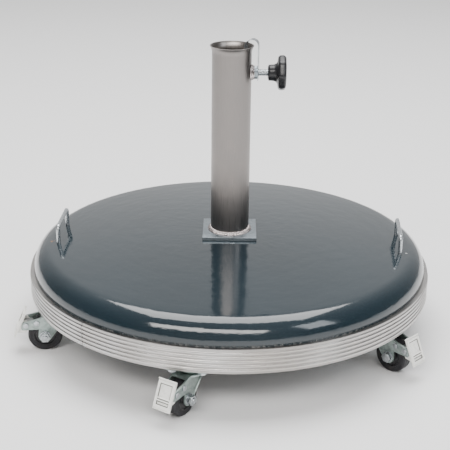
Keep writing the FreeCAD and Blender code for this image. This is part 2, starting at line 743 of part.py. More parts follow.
def handle_pattern():
    """Round bar bent to an upright hoop, its ends cast into the ballast."""
    body = new_body("HandleBent")
    half, bend = value("handle_span / 2"), value("handle_bend")
    top, root = value("handle_top"), value("handle_root")
    path = body.newObject("Sketcher::SketchObject", "HandlePath")
    path.AttachmentSupport = [(plane(body, "YZ_Plane"), "")]
    path.MapMode = "FlatFace"
    corners = [Vector(-half, root, 0), Vector(-half, top, 0), Vector(half, top, 0),
               Vector(half, root, 0)]
    for start, end in zip(corners, corners[1:]):
        path.addGeometry(Part.LineSegment(start, end), False)
    for first in (0, 1):
        path.addConstraint(Sketcher.Constraint("Coincident", first, 2, first + 1, 1))
    for line, point, x, y in (
        (0, 1, "-handle_span / 2", "handle_root"), (0, 2, "-handle_span / 2", "handle_top"),
        (1, 2, "handle_span / 2", "handle_top"), (2, 2, "handle_span / 2", "handle_root"),
    ):
        pin_down(path, line, point, x, y)
    doc.recompute()
    for line in (0, 1):
        path.fillet(line, 2, bend)
    doc.recompute()
    section = outline(body, "RodSection", "XY_Plane", [],
                      [("0", "-handle_span / 2", "handle_rod")])
    section.AttachmentOffset = Placement(Vector(0, 0, root), Rotation())
    section.setExpression(".AttachmentOffset.Base.z", full("handle_root"))
    pipe = body.newObject("PartDesign::AdditivePipe", "Rod")
    pipe.Profile = section
    pipe.Spine = (path, [f"Edge{i + 1}" for i in range(len(path.Shape.Edges))])
    doc.recompute()
    return body


def handle_placement(angle):
    turn = math.radians(angle)
    reach = value("handle_radius")
    return Placement(Vector(reach * math.cos(turn), reach * math.sin(turn), 0),
                     Rotation(Vector(0, 0, 1), angle))


hoop = handle_pattern()
handle_left = keep(copies("handle_left", hoop, [handle_placement(value("handle_left_angle"))]))
handle_right = keep(copies("handle_right", hoop, [handle_placement(value("handle_right_angle"))]))

# ---------------------------------------------------------------- dish, ballast and band


def domed(body, name, inset):
    """The dish's section moved in by a distance, down to the bottom plate or the band's edge."""
    floor = "band_bottom" if inset == "0" else "band_bottom + floor_plate"
    rim = f"dish_radius - {inset}"
    return outline(body, name, "XZ_Plane", [
        ("0", floor),
        (rim, floor),
        (rim, "band_bottom + band_height", f"knuckle_arc - {inset}", 1),
        ("knuckle_radius", f"knuckle_top - {inset}", f"dome_arc - {inset}", 1),
        ("dish_flat_radius", f"dish_top - {inset}"),
        ("0", f"dish_top - {inset}"),
    ])


def dish_blank():
    body = new_body("DishOuter")
    revolved(body, domed(body, "DishProfile", "0"))
    hollow = new_body("DishHollow")
    revolved(hollow, domed(hollow, "HollowProfile", "dish_wall"))
    skirt = cylinder("PlateSeat", "dish_radius - dish_wall", "floor_plate", z="band_bottom")
    return cut("DishBlank", body, fused("DishTools", hollow, skirt))


cast_in = fused("CastIn", handle_left, handle_right, plate)
keep(cut("dish_shell", dish_blank(), cast_in))

ballast = new_body("BallastCast")
revolved(ballast, domed(ballast, "BallastProfile", "dish_wall"))
keep(cut("concrete_ballast", ballast, cast_in))

floor_disc = cylinder("FloorDisc", "dish_radius - dish_wall", "floor_plate", z="band_bottom")
keep(cut("bottom_plate", floor_disc, bolts))


def rim_band():
    """Ribbed metal strip rolled round the rim, with a lip at each edge and a butt joint."""
    body = new_body("BandRolled")
    count = round(value("band_rib_count"))
    face = "band_radius - band_rib"
    points = [("dish_radius", "band_bottom"), (face, "band_bottom")]
    for i in range(count):
        foot = f"band_bottom + band_lip + band_rib_pitch * {i + 0.15}"
        top = f"band_bottom + band_lip + band_rib_pitch * {i + 0.85}"
        points += [(face, foot), ("band_radius", f"{foot} + band_rib"),
                   ("band_radius", f"{top} - band_rib"), (face, top)]
    inner = f"{face} - band_wall"
    points += [
        (face, "band_bottom + band_height"),
        ("dish_radius", "band_bottom + band_height"),
        ("dish_radius", "band_bottom + band_height - 2"),
        (inner, "band_bottom + band_height - 2"),
        (inner, "band_bottom + 2"),
        ("dish_radius", "band_bottom + 2"),
    ]
    revolved(body, outline(body, "BandProfile", "XZ_Plane", points))
    slit = doc.addObject("Part::Box", "BandSlit")
    slit.setExpression("Length", full("40"))
    slit.setExpression("Width", full("band_gap"))
    slit.setExpression("Height", full("band_height"))
    turn = math.radians(value("band_joint_angle"))
    reach = value("band_radius - 20")
    slit.Placement = Placement(
        Vector(reach * math.cos(turn), reach * math.sin(turn), value("band_bottom")),
        Rotation(Vector(0, 0, 1), value("band_joint_angle")))
    return body, slit


def band_screws():
    """Two small screws, one each side of the band's joint."""
    screws = []
    for side in (-1, 1):
        turn = f"band_joint_angle * 1deg + {side} * 1.15deg"
        reach = "(dish_radius - dish_wall / 2)"
        shank = doc.addObject("Part::Cylinder", "BandScrewShank")
        shank.setExpression("Radius", full("1.6"))
        shank.setExpression("Height", full("band_radius - dish_radius + dish_wall / 2 + 0.01"))
        angle = math.radians(value("band_joint_angle") + side * 1.15)
        place(shank, f"{reach} * cos({turn})", f"{reach} * sin({turn})", "band_bottom + 4")
        shank.Placement = Placement(
            shank.Placement.Base,
            Rotation(Vector(0, 0, 1), Vector(math.cos(angle), math.sin(angle), 0)))
        screws.append(shank)
    doc.recompute()
    return grouped("rim_band_screws", *screws)


band_body, band_slit = rim_band()
screws = keep(band_screws())
keep(cut("rim_band", band_body, fused("BandTools", band_slit, screws)))
shell = PARTS[[p.Label for p in PARTS].index("dish_shell")]
PARTS.remove(shell)
shell.Label = "ShellWithoutScrewHoles"
drilled = cut("ShellDrilled", shell, screws)
drilled.Label = "dish_shell"
keep(drilled)

# ---------------------------------------------------------------- checks and files

doc.recompute()
for thing in doc.Objects:
    if {"Invalid", "Error"} & set(thing.State):
        raise RuntimeError(f"{thing.Label} failed: {thing.State}")
labels = [thing.Label for thing in PARTS]
if len(set(labels)) != len(labels):
    raise RuntimeError("two sub-parts share a label")
for thing in PARTS:
    if thing.Shape.isNull() or not thing.Shape.isValid():
        raise RuntimeError(f"{thing.Label} has no valid shape")
    thing.Shape.exportStep(f"parts/{thing.Label}.step")
print(len(PARTS), "sub-parts written")
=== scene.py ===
import json
import math
import bpy
from bpy.props import FloatProperty, FloatVectorProperty, IntProperty, PointerProperty
from mathutils import Matrix, Vector


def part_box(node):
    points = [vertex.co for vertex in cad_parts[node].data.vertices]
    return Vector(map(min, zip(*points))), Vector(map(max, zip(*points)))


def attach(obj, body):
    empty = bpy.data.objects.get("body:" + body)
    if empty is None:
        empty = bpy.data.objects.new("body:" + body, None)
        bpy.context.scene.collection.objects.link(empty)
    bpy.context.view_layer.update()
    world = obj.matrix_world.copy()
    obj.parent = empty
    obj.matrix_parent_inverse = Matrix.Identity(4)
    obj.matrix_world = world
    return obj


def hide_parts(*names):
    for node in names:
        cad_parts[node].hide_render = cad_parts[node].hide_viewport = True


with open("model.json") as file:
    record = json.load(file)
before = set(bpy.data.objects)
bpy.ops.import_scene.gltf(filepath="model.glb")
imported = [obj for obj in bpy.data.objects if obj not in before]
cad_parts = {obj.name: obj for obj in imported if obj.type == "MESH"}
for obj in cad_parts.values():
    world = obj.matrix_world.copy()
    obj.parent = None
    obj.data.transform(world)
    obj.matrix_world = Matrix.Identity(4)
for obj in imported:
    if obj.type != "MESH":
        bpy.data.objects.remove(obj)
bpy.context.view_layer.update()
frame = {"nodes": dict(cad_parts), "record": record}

bl_info = {
    "name": "Parasol base",
    "version": (1, 0, 0),
    "blender": (4, 5, 0),
    "location": "3D View > Sidebar > Parasol base",
    "description": "Ballasted parasol base on six braked casters",
    "category": "Object",
}

NODES = frame["nodes"]
JOINTS = {joint["name"]: joint for joint in frame["record"]["behaviour"]["joints"]}
CASTERS = range(1, 7)
MM = 0.001
SCREW_HEIGHT = 393 * MM


# ------------------------------------------------------------------ sizes and colours


class ParasolSizes(bpy.types.PropertyGroup):
    """Sizes that are finished in the visual model."""

    eased_edge: FloatProperty(
        name="Eased edge", description="Rounding of pressed and cut edges",
        default=0.0003, unit="LENGTH")
    thread_pitch: FloatProperty(
        name="Thread pitch", description="Pitch of the clamp screw",
        default=0.0015, unit="LENGTH")
    screw_hole: FloatProperty(
        name="Screw hole", description="Radius of the holes that the clamp screw passes through",
        default=0.0053, unit="LENGTH")
    strip_width: FloatProperty(
        name="Guard strip width", description="Width of the sprung strip in the mouth",
        default=0.012, unit="LENGTH")
    strip_sheet: FloatProperty(
        name="Guard strip thickness", description="Thickness of the sprung strip",
        default=0.0007, unit="LENGTH")
    pedal_border: FloatProperty(
        name="Pedal border", description="Width of the raised border on a pedal",
        default=0.0035, unit="LENGTH")
    turning_steps: IntProperty(
        name="Turning steps", description="Steps round the large turned pieces",
        default=256, min=64, max=512)


def colour(label, note, value):
    return FloatVectorProperty(name=label, description=note, default=value,
                               subtype="COLOR", size=3, min=0.0, max=1.0)


class ParasolColours(bpy.types.PropertyGroup):
    """Colours of the finishes."""

    enamel: colour("Enamel", "Gloss paint of the dish", (0.0085, 0.017, 0.023))
    rust: colour("Rust", "Spots where the paint has gone", (0.17, 0.07, 0.03))
    aluminium: colour("Aluminium", "Ribbed rim band", (0.60, 0.59, 0.585))
    tube: colour("Tube", "Brushed pole tube", (0.25, 0.232, 0.222))
    zinc: colour("Bright zinc", "Handles, nut and screw", (0.50, 0.53, 0.55))
    pale_zinc: colour("Pale zinc", "Forks and mounting plates", (0.34, 0.40, 0.38))
    worn_zinc: colour("Worn zinc", "Clamp nut and foot plate", (0.30, 0.34, 0.37))
    pedal: colour("Pedal", "Off-white plating of the pedals", (0.93, 0.93, 0.89))
    rubber: colour("Rubber", "Solid tyres", (0.018, 0.018, 0.021))
    plastic: colour("Plastic", "Knob and wheel centres", (0.010, 0.010, 0.012))


def sizes():
    return bpy.context.scene.parasol_sizes


def colours():
    return bpy.context.scene.parasol_colours


def colours_of(name):
    return tuple(getattr(colours(), name))


# ------------------------------------------------------------------ finishes


class Finish:
    """A node material, put together from the object's own coordinates."""

    def __init__(self, name, base, metallic, roughness, sockets=()):
        self.material = bpy.data.materials.new(name)
        self.material.use_nodes = True
        self.tree = self.material.node_tree
        self.surface = next(n for n in self.tree.nodes if n.type == "BSDF_PRINCIPLED")
        start = {"Base Color": (*base, 1.0), "Metallic": metallic, "Roughness": roughness}
        for socket, value in {**start, **dict(sockets)}.items():
            self.surface.inputs[socket].default_value = value
        self.place = self.add("TexCoord").outputs["Object"]

    def add(self, kind, sockets=(), **settings):
        node = self.tree.nodes.new(f"ShaderNode{kind}")
        for key, value in settings.items():
            setattr(node, key, value)
        for key, value in dict(sockets).items():
            if isinstance(value, bpy.types.NodeSocket):
                self.tree.links.new(value, node.inputs[key])
            else:
                node.inputs[key].default_value = value
        return node

    def maths(self, operation, *values):
        return self.add("Math", dict(enumerate(values)), operation=operation).outputs[0]

    def noise(self, scale, detail=3.0, stretch=(1, 1, 1), vector=None):
        mapped = self.add("Mapping", {"Vector": vector or self.place, "Scale": stretch})
        return self.add("TexNoise", {"Vector": mapped.outputs[0], "Scale": scale,
                                     "Detail": detail}).outputs[0]

    def spangle(self, scale):
        return self.add("TexVoronoi", {"Vector": self.place, "Scale": scale}).outputs["Color"]

    def between(self, value, low, high, start=0.0, end=1.0):
        return self.add("MapRange", {"Value": value, "From Min": low, "From Max": high,
                                     "To Min": start, "To Max": end}).outputs[0]

    def mixed(self, factor, first, second):
        solid = [(*c, 1.0) if isinstance(c, (tuple, list)) and len(c) == 3 else c
                 for c in (first, second)]
        return self.add("Mix", {0: factor, 6: solid[0], 7: solid[1]},
                        data_type="RGBA").outputs[2]

    def round_axis(self):
        """Radius, angle and height about the tube's axis."""
        parts = self.add("SeparateXYZ", {0: self.place}).outputs
        radius = self.maths("SQRT", self.maths(
            "ADD", self.maths("MULTIPLY", parts[0], parts[0]),
            self.maths("MULTIPLY", parts[1], parts[1])))
        angle = self.maths("ARCTAN2", parts[1], parts[0])
        return radius, angle, parts[2]

    def spot(self, centre, reach):
        """One at a point on the surface, fading raggedly to nought."""
        away = self.add("VectorMath", {0: self.place, 1: centre}, operation="DISTANCE")
        ragged = self.maths("MULTIPLY_ADD", self.noise(260, 4), reach, away.outputs["Value"])
        return self.between(ragged, reach * 1.25, reach * 0.95)

    def bump(self, height, strength, distance, under=None):
        sockets = {"Height": height, "Strength": strength, "Distance": distance}
        if under:
            sockets["Normal"] = under
        return self.add("Bump", sockets).outputs[0]

    def wear(self, **links):
        for name, value in links.items():
            self.tree.links.new(value, self.surface.inputs[name.replace("_", " ")])
        return self.material


def enamel():
    shade = Finish("enamel_gloss", colours().enamel, 0.0, 0.16,
                   {"IOR": 1.5, "Coat Weight": 0.5, "Coat Roughness": 0.04})
    radius, angle, height = shade.round_axis()
    flow = shade.add("CombineXYZ", {0: shade.maths("MULTIPLY", angle, 3.0),
                                    1: shade.maths("MULTIPLY", radius, 26.0),
                                    2: shade.maths("MULTIPLY", height, 40.0)}).outputs[0]
    cloud = shade.noise(5.0, 4)
    paint = shade.mixed(cloud, [c * 0.75 for c in colours().enamel],
                        [c * 1.5 for c in colours().enamel])
    dust = shade.between(shade.noise(1100, 2), 0.68, 0.76, 0.0, 0.35)
    paint = shade.mixed(dust, paint, (0.22, 0.22, 0.21))
    rubbed = shade.maths("MULTIPLY", shade.between(height, 0.1058, 0.1040),
                         shade.between(shade.noise(420, 5), 0.50, 0.66, 0.0, 0.7))
    paint = shade.mixed(rubbed, paint, (0.30, 0.30, 0.29))
    rusty = shade.spot((-0.266, -0.0208, 0.139), 0.006)
    paint = shade.mixed(rusty, paint, shade.mixed(shade.noise(900, 3), colours_of("rust"),
                                                  (0.30, 0.15, 0.07)))
    chips = shade.maths("MAXIMUM", shade.spot((-0.279, -0.0514, 0.134), 0.003),
                        shade.spot((0.2608, -0.0494, 0.136), 0.0028))
    paint = shade.mixed(chips, paint, (0.34, 0.35, 0.35))
    marked = shade.maths("MAXIMUM", rusty, chips)
    rough = shade.maths("MAXIMUM", shade.between(cloud, 0.3, 0.7, 0.06, 0.15),
                        shade.maths("MULTIPLY", marked, 0.75))
    peel = shade.bump(shade.noise(230, 2), 0.10, 0.0004)
    wavy = shade.bump(shade.noise(2.2, 4, vector=flow), 0.16, 0.004, peel)
    return shade.wear(Base_Color=paint, Roughness=rough, Normal=wavy)


def aluminium():
    shade = Finish("rolled_aluminium", colours().aluminium, 1.0, 0.3, {"Anisotropic": 0.4})
    radius, angle, height = shade.round_axis()
    along = shade.add("CombineXYZ", {0: shade.maths("MULTIPLY", angle, 9.0),
                                     1: shade.maths("MULTIPLY", height, 2600.0)}).outputs[0]
    brushed = shade.noise(1.0, 3, vector=along)
    stain = shade.noise(9.0, 5)
    metal = shade.mixed(shade.between(stain, 0.42, 0.68), colours_of("aluminium"),
                        (0.50, 0.47, 0.44))
    # Darker in the valleys between the ribs: partly grime, partly painted shade where the
    # valleys lie in shadow.
    grime = shade.maths("MULTIPLY", shade.between(radius, 0.2996, 0.2989),
                        shade.between(stain, 0.2, 0.6, 0.25, 0.65))
    metal = shade.mixed(grime, metal, (0.26, 0.25, 0.24))
    rough = shade.maths("MAXIMUM", shade.between(brushed, 0.3, 0.7, 0.22, 0.38),
                        shade.maths("MULTIPLY", grime, 0.55))
    return shade.wear(Base_Color=metal, Roughness=rough,
                      Normal=shade.bump(brushed, 0.22, 0.0001))


def brushed_tube():
    shade = Finish("brushed_tube", colours().tube, 1.0, 0.3, {"Anisotropic": 0.5})
    angle, height = shade.round_axis()[1:]
    along = shade.add("CombineXYZ", {0: shade.maths("MULTIPLY", angle, 95.0),
                                     1: shade.maths("MULTIPLY", height, 16.0)}).outputs[0]
    drawn = shade.noise(1.0, 4, vector=along)
    stain = shade.noise(22.0, 4)
    metal = shade.mixed(drawn, [c * 0.82 for c in colours().tube],
                        [min(c * 1.22, 1) for c in colours().tube])
    metal = shade.mixed(shade.between(stain, 0.55, 0.75, 0, 0.5), metal, (0.30, 0.27, 0.25))
    return shade.wear(Base_Color=metal, Roughness=shade.between(drawn, 0.3, 0.7, 0.24, 0.42),
                      Normal=shade.bump(drawn, 0.18, 0.0001))


def zinc(name, tone, low, high, grain):
    """Zinc plate: faint crystals, handling marks and a grain of its own."""
    shade = Finish(name, tone, 0.92, low)
    crystals = shade.spangle(grain)
    crystal = shade.add("SeparateColor", {0: crystals}).outputs[0]
    marks = shade.noise(120, 5)
    metal = shade.mixed(crystal, [c * 0.86 for c in tone], [min(c * 1.12, 1) for c in tone])
    metal = shade.mixed(shade.between(marks, 0.58, 0.74, 0, 0.55), metal,
                        [c * 0.5 for c in tone])
    return shade.wear(Base_Color=metal, Roughness=shade.between(marks, 0.3, 0.7, low, high),
                      Normal=shade.bump(shade.noise(900, 3), 0.10, 0.0001))


def pedal_plate():
    shade = Finish("pedal_plating", colours().pedal, 0.08, 0.38)
    rub = shade.noise(150, 5)
    tone = colours_of("pedal")
    plate = shade.mixed(shade.between(rub, 0.5, 0.72, 0, 0.35), tone, [c * 0.6 for c in tone])
    return shade.wear(Base_Color=plate, Roughness=shade.between(rub, 0.3, 0.7, 0.30, 0.52),
                      Normal=shade.bump(shade.noise(600, 3), 0.12, 0.0001))


def weld():
    shade = Finish("weld_metal", (0.62, 0.57, 0.55), 1.0, 0.28)
    angle = shade.round_axis()[1]
    ripple = shade.maths("SINE", shade.maths("MULTIPLY", angle, 88.0))
    heat = shade.noise(130, 4)
    metal = shade.mixed(heat, (0.42, 0.37, 0.36), (0.86, 0.78, 0.76))
    return shade.wear(Base_Color=metal, Roughness=shade.between(heat, 0.3, 0.7, 0.18, 0.4),
                      Normal=shade.bump(ripple, 0.55, 0.0004,
                                        shade.bump(heat, 0.3, 0.0004)))


def rubber():
    shade = Finish("black_rubber", colours().rubber, 0.0, 0.55, {"Specular IOR Level": 0.4})
    dust = shade.noise(70, 5)
    dirt = shade.mixed(shade.between(dust, 0.5, 0.75, 0, 0.5), colours_of("rubber"),
                       (0.075, 0.062, 0.052))
    return shade.wear(Base_Color=dirt, Roughness=shade.between(dust, 0.3, 0.7, 0.45, 0.78),
                      Normal=shade.bump(shade.noise(1400, 2), 0.15, 0.0001))


def plastic():
    shade = Finish("black_plastic", colours().plastic, 0.0, 0.2, {"IOR": 1.5})
    fine = shade.noise(420, 4)
    scuff = shade.between(shade.noise(90, 6), 0.62, 0.75, 0, 0.2)
    tone = shade.mixed(scuff, colours_of("plastic"), (0.05, 0.05, 0.05))
    return shade.wear(Base_Color=tone, Roughness=shade.between(fine, 0.3, 0.7, 0.24, 0.36),
                      Normal=shade.bump(fine, 0.03, 0.0001))


def grimed():
    # Near-black finish for the strips in a pedal's corners: painted shadow, with a grimy crust.
    shade = Finish("grime_in_corners", (0.07, 0.07, 0.065), 0.2, 0.7)
    crust = shade.noise(500, 5)
    return shade.wear(Base_Color=shade.mixed(crust, (0.045, 0.045, 0.04), (0.13, 0.125, 0.11)),
                      Normal=shade.bump(crust, 0.3, 0.0002))


def concrete():
    shade = Finish("cast_concrete", (0.36, 0.35, 0.33), 0.0, 0.9)
    grain = shade.noise(180, 8)
    tone = shade.mixed(grain, (0.24, 0.23, 0.22), (0.48, 0.47, 0.44))
    return shade.wear(Base_Color=tone, Normal=shade.bump(grain, 0.5, 0.0006))


def plain_steel():
    shade = Finish("plain_steel", (0.36, 0.36, 0.36), 1.0, 0.4)
    scale = shade.noise(60, 6)
    tone = shade.mixed(shade.between(scale, 0.45, 0.7), (0.36, 0.36, 0.36), (0.17, 0.14, 0.12))
    return shade.wear(Base_Color=tone, Roughness=shade.between(scale, 0.3, 0.7, 0.3, 0.6),
                      Normal=shade.bump(scale, 0.15, 0.0002))


RECIPES = {
    "enamel": enamel,
    "aluminium": aluminium,
    "tube": brushed_tube,
    "zinc": lambda: zinc("bright_zinc", colours_of("zinc"), 0.16, 0.34, 520),
    "worn_zinc": lambda: zinc("worn_zinc", colours_of("worn_zinc"), 0.26, 0.44, 460),
    "pale_zinc": lambda: zinc("pale_zinc", colours_of("pale_zinc"), 0.30, 0.50, 380),
    "pedal": pedal_plate,
    "weld": weld,
    "rubber": rubber,
    "plastic": plastic,
    "concrete": concrete,
    "plain_steel": plain_steel,
    "grime": grimed,
}
MADE = {}


def finish(name):
    if name not in MADE:
        MADE[name] = RECIPES[name]()
    return MADE[name]


# ------------------------------------------------------------------ modelling by hand


def only(piece=None):
    """Nothing is selected but the piece, which is active."""
    bpy.ops.object.select_all(action="DESELECT")
    if piece:
        piece.select_set(True)
        bpy.context.view_layer.objects.active = piece


def settled(piece, name=None, place=None):
    """The piece with its place in its mesh."""
    only(piece)
    if name:
        piece.name = piece.data.name = name
    if place is not None:
        piece.matrix_world = place
    bpy.ops.object.transform_apply(location=True, rotation=True, scale=True)
    return piece


def modified(piece, kind, **settings):
    """The piece with one modifier added and applied."""
    only(piece)
    step = piece.modifiers.new(kind.title(), kind)
    for key, value in settings.items():
        setattr(step, key, value)
    bpy.ops.object.modifier_apply(modifier=step.name)
    return piece


def smoothed(piece, angle=35):
    only(piece)
    bpy.ops.object.shade_smooth_by_angle(angle=math.radians(angle))
    return piece


def drawn(name, points):
    """A line of edges drawn point by point, left in edit mode and selected all over."""
    only()
    bpy.ops.mesh.primitive_plane_add(size=MM, location=points[0])
    piece = bpy.context.object
    settled(piece, name)
    bpy.ops.object.mode_set(mode="EDIT")
    bpy.ops.mesh.select_mode(type="VERT")
    bpy.ops.mesh.select_all(action="SELECT")
    bpy.ops.mesh.merge(type="CENTER")
    for here, there in zip(points, points[1:]):
        bpy.ops.mesh.extrude_vertices_move(
            TRANSFORM_OT_translate={"value": Vector(there) - Vector(here)})
    bpy.ops.mesh.select_all(action="SELECT")
    bpy.ops.mesh.remove_doubles(threshold=1e-6)
    return piece


def turned(name, points, centre=(0, 0, 0), axis=(0, 0, 1), steps=96, angle=math.tau):
    """The line of points spun about the axis; a spin short of a full turn gets end caps."""
    piece = drawn(name, points)
    bpy.ops.mesh.spin(steps=steps, angle=angle, center=centre, axis=axis)
    bpy.ops.mesh.select_all(action="SELECT")
    bpy.ops.mesh.remove_doubles(threshold=2e-6)
    if angle < math.tau:
        bpy.ops.mesh.select_all(action="DESELECT")
        bpy.ops.mesh.select_non_manifold()
        bpy.ops.mesh.fill_holes(sides=0)
    bpy.ops.mesh.select_all(action="SELECT")
    bpy.ops.mesh.normals_make_consistent(inside=False)
    bpy.ops.object.mode_set(mode="OBJECT")
    return piece


def arc(start, end, radius, count):
    """Points of the arc from start to end, both (out, up), bulging up and outwards."""
    middle = [(a + b) / 2 for a, b in zip(start, end)]
    run = [b - a for a, b in zip(start, end)]
    half = math.hypot(*run) / 2
    drop = math.sqrt(radius * radius - half * half)
    centre = (middle[0] + run[1] / (2 * half) * drop, middle[1] - run[0] / (2 * half) * drop)
    first = math.atan2(start[1] - centre[1], start[0] - centre[0])
    last = math.atan2(end[1] - centre[1], end[0] - centre[0])
    return [(centre[0] + radius * math.cos(first + (last - first) * i / count),
             centre[1] + radius * math.sin(first + (last - first) * i / count))
            for i in range(count + 1)]


def upright(points, direction=0.0):
    """(out, up) in millimetres as points in metres, in the plane at that direction."""
    return [(r * MM * math.cos(direction), r * MM * math.sin(direction), z * MM)
            for r, z in points]


def eased(node, name, width=None, segments=2, angle=35):
    """A copy of a CAD part with its triangles merged and its edges rounded."""
    source = NODES[node]
    piece = bpy.data.objects.new(name, source.data.copy())
    bpy.context.scene.collection.objects.link(piece)
    settled(piece, name, source.matrix_world.copy())
    if piece.data.has_custom_normals:
        bpy.ops.mesh.customdata_custom_splitnormals_clear()
    bpy.ops.object.mode_set(mode="EDIT")
    bpy.ops.mesh.select_all(action="SELECT")
    bpy.ops.mesh.remove_doubles(threshold=1e-6)
    bpy.ops.mesh.dissolve_limited(angle_limit=math.radians(0.6))
    bpy.ops.object.mode_set(mode="OBJECT")
    width = sizes().eased_edge if width is None else width
    if width:
        modified(piece, "BEVEL", width=width, segments=segments, limit_method="ANGLE",
                 angle_limit=math.radians(angle), harden_normals=False)
    modified(piece, "TRIANGULATE")
    return smoothed(piece, angle)


def pierced(piece, wall, depth, up):
    """The piece with the clamp screw's hole drilled along X through the wall there."""
    only()
    bpy.ops.mesh.primitive_cylinder_add(
        radius=sizes().screw_hole, depth=depth, vertices=48, location=(wall, 0, up),
        rotation=(0, math.pi / 2, 0))
    drill = bpy.context.object
    modified(piece, "BOOLEAN", object=drill, operation="DIFFERENCE", solver="EXACT")
    only(drill)
    bpy.ops.object.delete()
    return piece


def dressed(piece, name):
    """The piece in one finish, or in those it already has if none is named."""
    if name:
        piece.data.materials.clear()
        piece.data.materials.append(finish(name))
    return piece


def fitted(piece, body, nodes, look):
    """The finished piece: its material, the body it rides on and what it stands for."""
    dressed(piece, look)
    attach(piece, body)
    if nodes:
        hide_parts(*nodes)
    return piece


def carried(node, look):
    """A CAD part shown as it is, in a better finish."""
    part = NODES[node]
    for slot in part.material_slots:
        slot.material = finish(look)


def caster_places(heading_from_axis=False):
    """Each caster's frame: on its swivel axis at floor level, X along the trail."""
    places = []
    for number in CASTERS:
        axis = Vector(JOINTS[f"caster_{number}_swivel_turn"]["pos_m"])
        wheel = Vector(JOINTS[f"caster_{number}_wheel_roll"]["pos_m"])
        way = axis if heading_from_axis else wheel - axis
        places.append(Matrix.Translation((axis.x, axis.y, 0))
                      @ Matrix.Rotation(math.atan2(way.y, way.x), 4, "Z"))
    return places


def on_each_caster(pattern, stem, body, node, look, places=None):
    """Copies of a pattern, made in a caster's own frame, at all six casters."""
    for number, place in zip(CASTERS, places or caster_places()):
        only(pattern)
        bpy.ops.object.duplicate()
        piece = settled(bpy.context.object, f"caster_{number}_{stem}", place)
        replaced = [node.format(number)] if node else []
        fitted(piece, body.format(number), replaced, look)
    only(pattern)
    bpy.ops.object.delete()


def from_caster_one(node, name, places=None, **edges):
    """The first caster's part, eased and brought into its caster's own frame."""
    first = (places or caster_places())[0]
    return settled(eased(node, name, **edges), None, first.inverted())


# ------------------------------------------------------------------ pieces


class Piece:
    """What the operators share."""

    bl_options = {"REGISTER", "UNDO"}

    def execute(self, context):
        self.build()
        return {"FINISHED"}


class PARASOL_OT_dish(Piece, bpy.types.Operator):
    """Domed enamelled dish with a rounded knuckle"""

    bl_idname = "parasol.dish"
    bl_label = "Dish"

    def build(self):
        steps = sizes().turning_steps
        top, sheet, flat, hem, skirt = 148.5, 2.0, 58, 92, 291.9
        shoulder, rim = (265.4, 136.5), (293.4, 103)
        dome_radius, knuckle_radius = 2802, 31
        outside = ([(0, top), (30, top)] + arc((flat, top), shoulder, dome_radius, 14)
                   + arc(shoulder, rim, knuckle_radius, 16)[1:] + [(rim[0], hem)])
        inside = [(skirt, hem), (skirt, rim[1]), (264, 134.6), (flat, top - sheet),
                  (0, top - sheet)]
        dish = turned("dish_enamelled", upright(outside + inside), steps=steps)
        fitted(smoothed(dish, 40), "base", ["dish_shell"], "enamel")


class PARASOL_OT_band(Piece, bpy.types.Operator):
    """Ribbed aluminium band round the rim, with its butt joint"""

    bl_idname = "parasol.band"
    bl_label = "Rim band"

    def build(self):
        face, back, top, foot, corner = 298.8, 293.6, 103.0, 68.0, 0.4
        ribs, pitch, first_rib = 5, 6, 2.7
        rib_section = [(0, 0), (0.55, 0.35), (0.95, 1.0), (1.15, 1.8), (1.2, 2.3),
                       (1.15, 2.8), (0.95, 3.6), (0.55, 4.25), (0, 4.6)]
        outside = [(back, foot), (face - corner, foot), (face, foot + corner)]
        for rib in range(ribs):
            low = foot + first_rib + pitch * rib
            outside += [(face + out, low + up) for out, up in rib_section]
        outside += [(face, top - corner), (face - corner, top), (back, top), (back, foot)]
        seam_direction, seam_width, outer_radius = math.radians(-131.0), 0.8, 300
        gap = seam_width / outer_radius
        start = seam_direction + gap / 2
        band = turned("rim_band_rolled", upright(outside, start), steps=sizes().turning_steps,
                      angle=math.tau - gap)
        fitted(smoothed(band, 30), "base", ["rim_band"], "aluminium")
        carried("rim_band_screws", "zinc")


class PARASOL_OT_socket(Piece, bpy.types.Operator):
    """Pole tube with its flared mouth, the plate under it and the weld between them"""

    bl_idname = "parasol.socket"
    bl_label = "Pole socket"

    def build(self):
        flare = [(28.5, 421), (28.7, 423.5), (29.3, 426.5), (30.4, 429.5), (31.5, 431.4)]
        mouth = [(31.6, 431.8), (31.2, 432), (30.2, 431.8), (29.5, 430.8), (28.4, 428.5),
                 (27.3, 425.5), (26.7, 423), (26.5, 421)]
        radius, bore, foot = 28.5, 26.5, 153.5
        wall = [(radius, foot), (radius, 200), (radius, 300)] + flare + mouth
        wall += [(bore, 300), (bore, 200), (bore, foot), (radius, foot)]
        tube = turned("pole_tube", upright(wall), steps=128)
        pierced(tube, (radius + bore) / 2 * MM, 0.012, SCREW_HEIGHT)
        fitted(smoothed(tube, 40), "base", ["socket_tube"], "tube")
        fitted(eased("socket_plate", "tube_foot_plate", width=0.0006), "base",
               ["socket_plate"], "worn_zinc")
        bead = [(28.4, 153.4), (33.0, 153.4), (32.9, 154.2), (32.2, 155.4), (31.2, 156.4),
                (30.1, 157.2), (29.1, 157.9), (28.4, 158.0), (28.4, 153.4)]
        ring = turned("tube_weld_bead", upright(bead), steps=240)
        rippled(ring, 0.0035, 0.0005)
        fitted(smoothed(ring, 60), "base", ["tube_weld"], "weld")


def rippled(piece, size, strength):
    """Uneven build-up of a bead."""
    cloud = bpy.data.textures.new(f"{piece.name}_unevenness", "CLOUDS")
    cloud.noise_scale = size
    return modified(piece, "DISPLACE", texture=cloud, strength=strength, mid_level=0.6)


